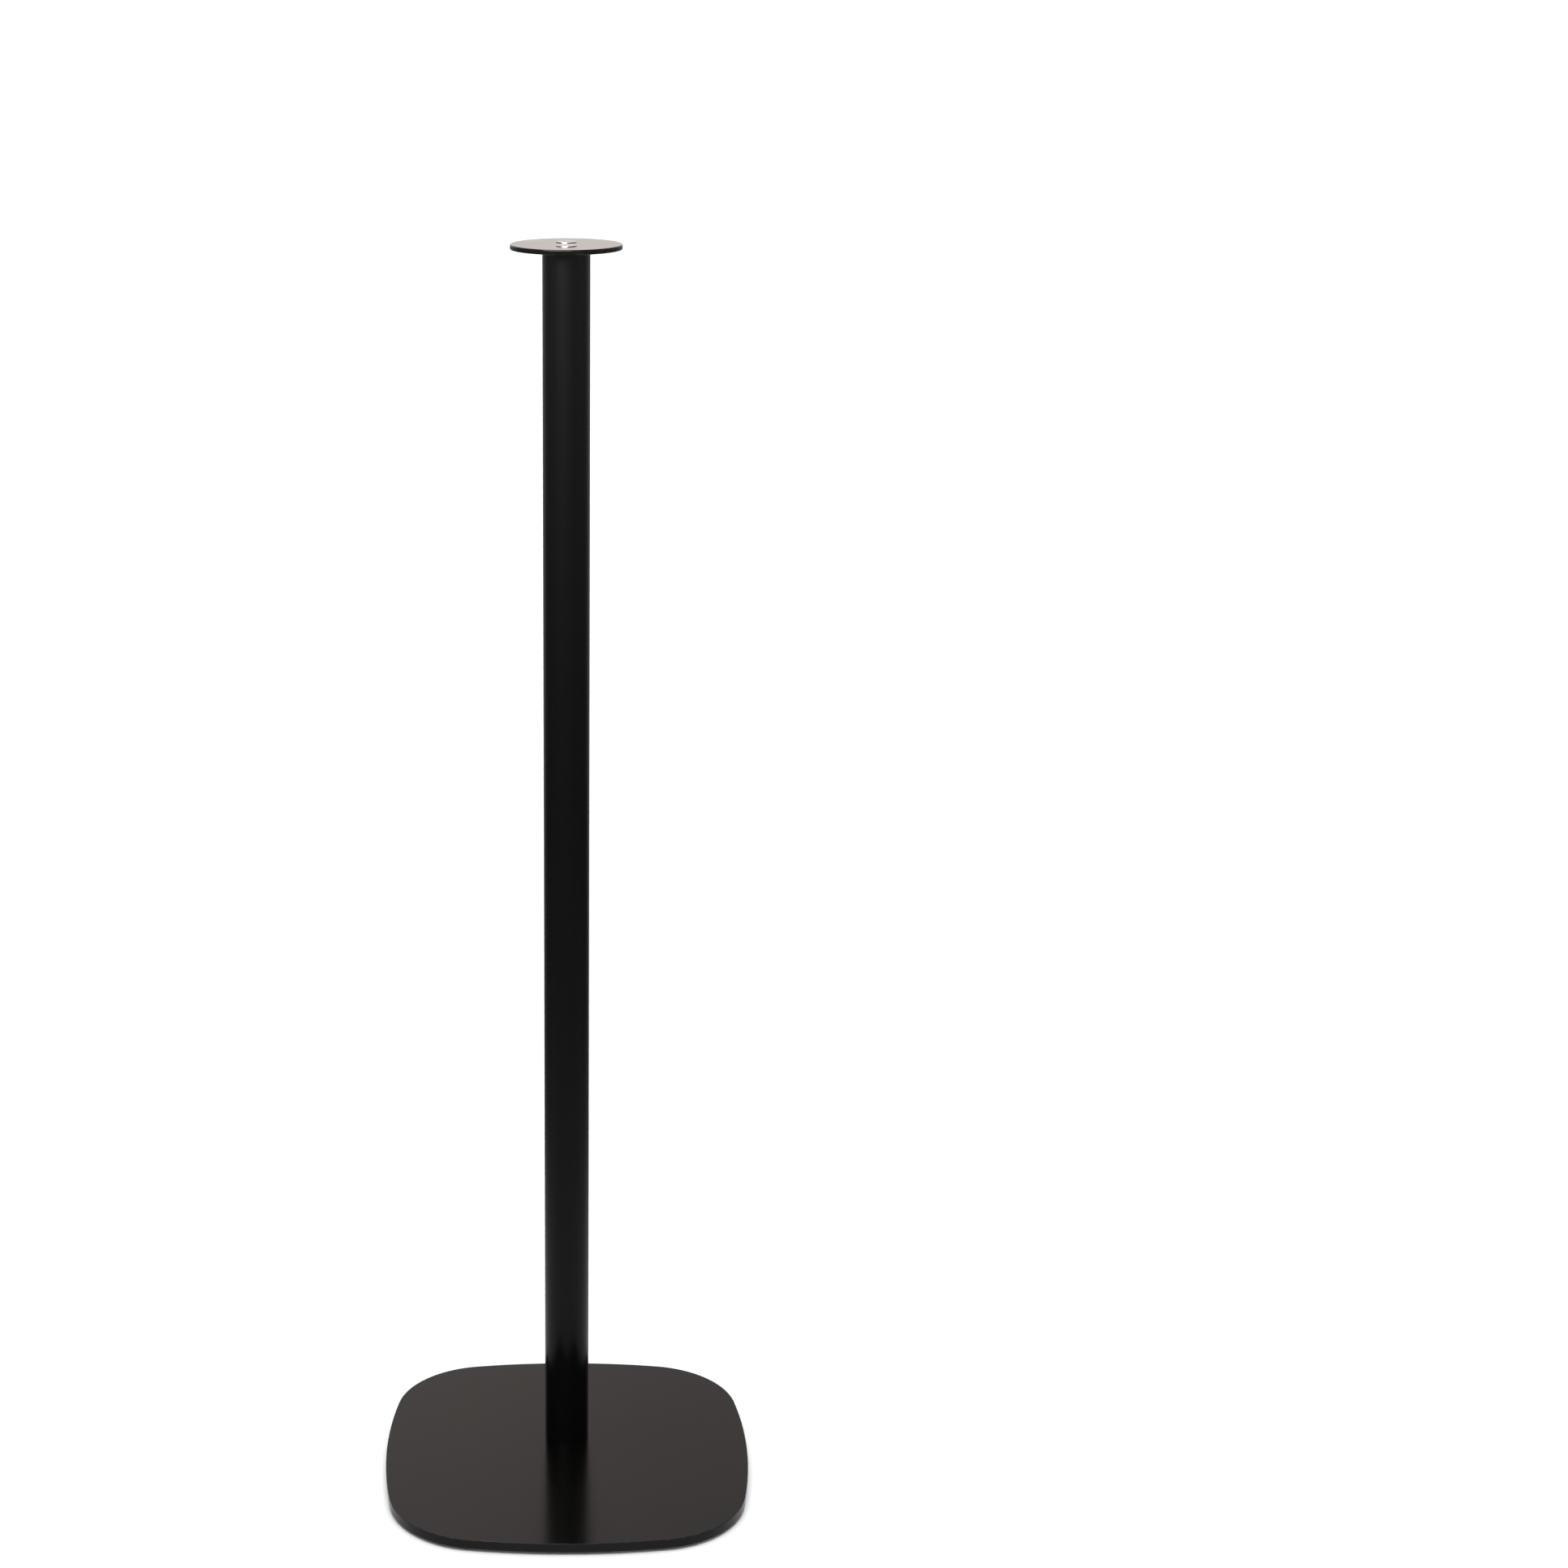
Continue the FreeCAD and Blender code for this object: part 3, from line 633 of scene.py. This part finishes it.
HORIZON = [(-0.8, 0.3, 0.0), (-0.3, 1.02, 0.0), (2.0, 1.02, 0.0)]
OVERHEAD = [(62.0, 1.2, 0.3), (90.0, 1.3, 0.0)]
FRONT = [(4.0, 0.62, 0.0), (20.0, 0.6, 0.0), (40.0, 0.8, 0.0)]
# at the sides it is white near the horizon and dark higher up
SIDE = [(18.0, 0.95, 0.0), (24.0, 0.22, 0.0), (50.0, 0.22, 0.0)]
BACK_LEFT = [(4.0, 1.32, 1.0), (9.0, 1.32, 1.0), (14.0, 1.10, 1.0), (29.0, 0.98, 1.0), (40.0, 1.0, 1.0)]
BACK_RIGHT = [(4.0, 1.32, 1.0), (9.0, 1.32, 1.0), (14.0, 1.02, 1.0), (29.0, 0.76, 1.0), (40.0, 0.80, 1.0)]
DOWN = [(-90.0, 0.85, 0.0), (-31.0, 0.92, 0.0), (-29.0, 0.85, 0.0)]
BACK_DOWN = [(-90.0, 0.75, 0.0), (-31.0, 0.74, 0.0), (-29.0, 0.73, 0.0)]


def room(down, dim, up):
    """One side of the room from straight down to straight up; dim holds the levels just below the horizon."""
    steps = [(degrees, level, 0.0) for degrees, level in zip((-26.0, -23.0, -17.0, -9.0, -6.0), dim)]
    return ramp(down + steps + HORIZON + up + OVERHEAD)


# just below the horizon the room is dim all round, and a little lighter behind and ahead than beside
DIM_BEHIND, DIM_BESIDE, DIM_AHEAD = (0.35, 0.1, 0.25, 0.35, 0.35), (0.6, 0.03, 0.05, 0.27, 0.35), (0.7, 0.25, 0.05, 0.45, 0.8)
behind = between("X", -0.06, 0.06, room(BACK_DOWN, DIM_BEHIND, BACK_LEFT), room(BACK_DOWN, DIM_BEHIND, BACK_RIGHT))
ahead = between("Y", -0.3, 0.15, room(DOWN, DIM_AHEAD, FRONT), room(DOWN, DIM_BESIDE, SIDE))
tree.links.new(between("Y", 0.45, 0.75, ahead, behind), glow.inputs["Color"])
glow.inputs["Strength"].default_value = SKY_GAIN
# past the floor's edge the backdrop itself is plain white
backdrop = tree.nodes.new("ShaderNodeBackground")
backdrop.inputs["Color"].default_value = (1.0, 1.0, 1.0, 1.0)
either = tree.nodes.new("ShaderNodeMixShader")
tree.links.new(tree.nodes.new("ShaderNodeLightPath").outputs["Is Camera Ray"], either.inputs[0])
tree.links.new(glow.outputs[0], either.inputs[1])
tree.links.new(backdrop.outputs[0], either.inputs[2])
tree.links.new(either.outputs[0], out.inputs[0])


def softbox(name, place, aim, width, height, level):
    """A large soft light of even brightness that the stand's gloss shows; the floor is lit by the room alone."""
    data = bpy.data.lights.new(name, "AREA")
    data.shape, data.size, data.size_y = "RECTANGLE", width, height
    data.energy = level * math.pi * width * height
    lamp = bpy.data.objects.new(name, data)
    lamp.location = place
    lamp.rotation_euler = (Vector(aim) - Vector(place)).to_track_quat("-Z", "Y").to_euler()
    lamp.visible_camera = lamp.visible_diffuse = False
    bpy.context.scene.collection.objects.link(lamp)


# in front, one large soft light to the left of the middle and a weaker one beside it
softbox("key_left", (-0.727, -1.284, 1.572), (0.0, 0.028, 1.572), 0.917, 0.547, 39.0)
softbox("key_middle", (-0.026, -1.472, 1.572), (0.0, 0.028, 1.572), 0.583, 0.547, 28.0)
# a wide soft light from straight above that brings the floor up to white and leaves no glare on the gloss
above = bpy.data.lights.new("above", "SUN")
above.angle, above.energy = math.radians(60.0), 1.9
above_lamp = bpy.data.objects.new("above", above)
above_lamp.location = (0.0, 0.0, 3.0)
above_lamp.visible_glossy = False
bpy.context.scene.collection.objects.link(above_lamp)

# ------------------------------------------------------------------------ camera
eye = bpy.data.cameras.new("eye")
eye.sensor_width, eye.lens = 36.0, 67.508
eye.shift_x, eye.shift_y = 0.13867, 0.0
eye.clip_start, eye.clip_end = 0.05, 500.0
camera = bpy.data.objects.new("eye", eye)
camera.location = (-0.0062, -2.19262, 1.23759)
camera.rotation_euler = (
    Matrix.Rotation(-0.0028, 3, "Z") @ Matrix.Rotation(math.pi / 2 - 0.28823, 3, "X") @ Matrix.Rotation(-0.00044, 3, "Z")
).to_euler()
bpy.context.scene.collection.objects.link(camera)
bpy.context.scene.camera = camera
bpy.context.scene.view_settings.view_transform = "Standard"
bpy.context.scene.view_settings.look = "None"

bpy.context.view_layer.update()
